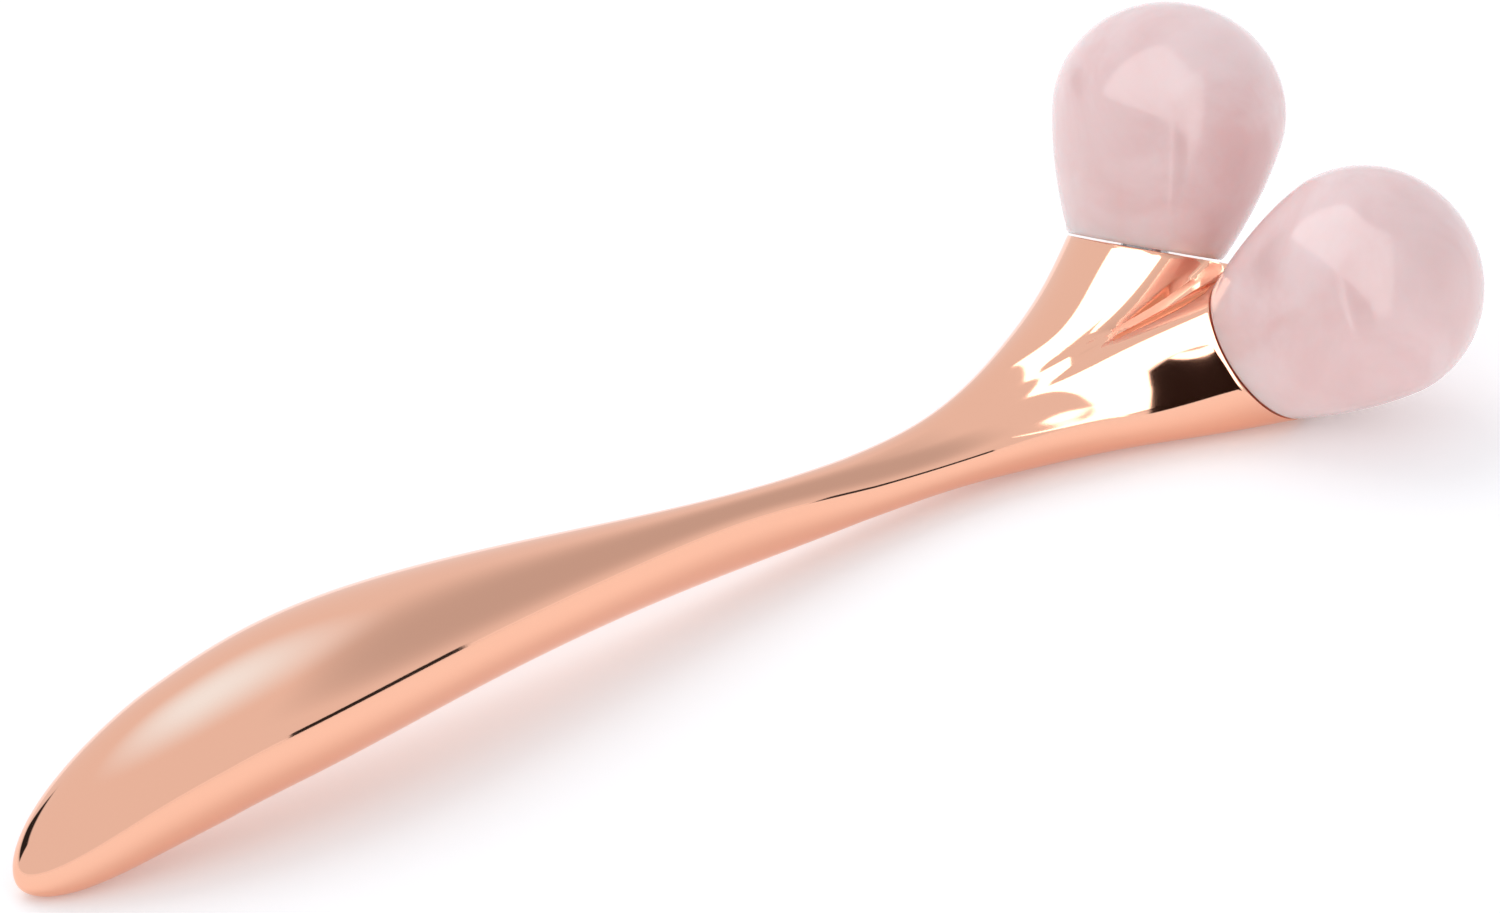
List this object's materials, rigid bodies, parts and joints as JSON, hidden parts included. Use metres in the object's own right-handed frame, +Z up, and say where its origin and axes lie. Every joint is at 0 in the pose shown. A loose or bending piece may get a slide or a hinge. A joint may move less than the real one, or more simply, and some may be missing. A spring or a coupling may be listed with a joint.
{
  "type": "facial massage roller",
  "caption": "Y-shaped hand-held facial massage roller: a curved polished rose-gold metal handle with free-turning rose quartz drops on its forked head.",
  "frame": {"origin": "centre of the footprint of the tool as it lies on a table, on the table plane", "axes": "+Z up from the table, +X along the handle towards the forked head, +Y towards the raised roller"},
  "size_m": [0.1706, 0.054, 0.0393],
  "materials": {
    "rose_gold": "mirror-polished rose gold plating on a zinc alloy casting",
    "rose_quartz": "polished milky pink stone",
    "steel": "ground stainless and bearing steel",
    "brass": "turned and pressed brass",
    "nylon": "moulded natural nylon"
  },
  "bodies": {
    "handle": {"handle": "rose_gold", "left_axle": "steel", "left_shim_washer": "steel", "left_bearing_inner_ring": "steel", "left_tip_washer": "steel", "left_retaining_clip": "steel", "right_axle": "steel", "right_shim_washer": "steel", "right_bearing_inner_ring": "steel", "right_tip_washer": "steel", "right_retaining_clip": "steel"},
    "left_roller": {"left_stone": "rose_quartz", "left_core_sleeve": "brass", "left_bearing_outer_ring": "steel", "left_bearing_front_shield": "steel", "left_bearing_back_shield": "steel", "left_tip_bush": "nylon"},
    "left_ball_cage": {"left_bearing_cage": "brass", "left_bearing_ball_1": "steel", "left_bearing_ball_2": "steel", "left_bearing_ball_3": "steel", "left_bearing_ball_4": "steel", "left_bearing_ball_5": "steel", "left_bearing_ball_6": "steel", "left_bearing_ball_7": "steel"},
    "right_roller": {"right_stone": "rose_quartz", "right_core_sleeve": "brass", "right_bearing_outer_ring": "steel", "right_bearing_front_shield": "steel", "right_bearing_back_shield": "steel", "right_tip_bush": "nylon"},
    "right_ball_cage": {"right_bearing_cage": "brass", "right_bearing_ball_1": "steel", "right_bearing_ball_2": "steel", "right_bearing_ball_3": "steel", "right_bearing_ball_4": "steel", "right_bearing_ball_5": "steel", "right_bearing_ball_6": "steel", "right_bearing_ball_7": "steel"}
  },
  "joints": [
    {"name": "left_roller_spin", "type": "hinge", "parent": "handle", "child": "left_roller", "pos_m": [0.06642, 0.01266, 0.01408], "axis": [0.4271, 0.123, 0.8958], "continuous": true},
    {"name": "left_ball_cage_spin", "type": "hinge", "parent": "handle", "child": "left_ball_cage", "pos_m": [0.06642, 0.01266, 0.01408], "axis": [0.4271, 0.123, 0.8958], "continuous": true},
    {"name": "right_roller_spin", "type": "hinge", "parent": "handle", "child": "right_roller", "pos_m": [0.06651, -0.00439, 0.00726], "axis": [0.4318, -0.7026, 0.5656], "continuous": true},
    {"name": "right_ball_cage_spin", "type": "hinge", "parent": "handle", "child": "right_ball_cage", "pos_m": [0.06651, -0.00439, 0.00726], "axis": [0.4318, -0.7026, 0.5656], "continuous": true}
  ],
  "couplings": [
    {"joint": "left_ball_cage_spin", "follows": "left_roller_spin", "ratio": 0.6},
    {"joint": "right_ball_cage_spin", "follows": "right_roller_spin", "ratio": 0.6}
  ]
}
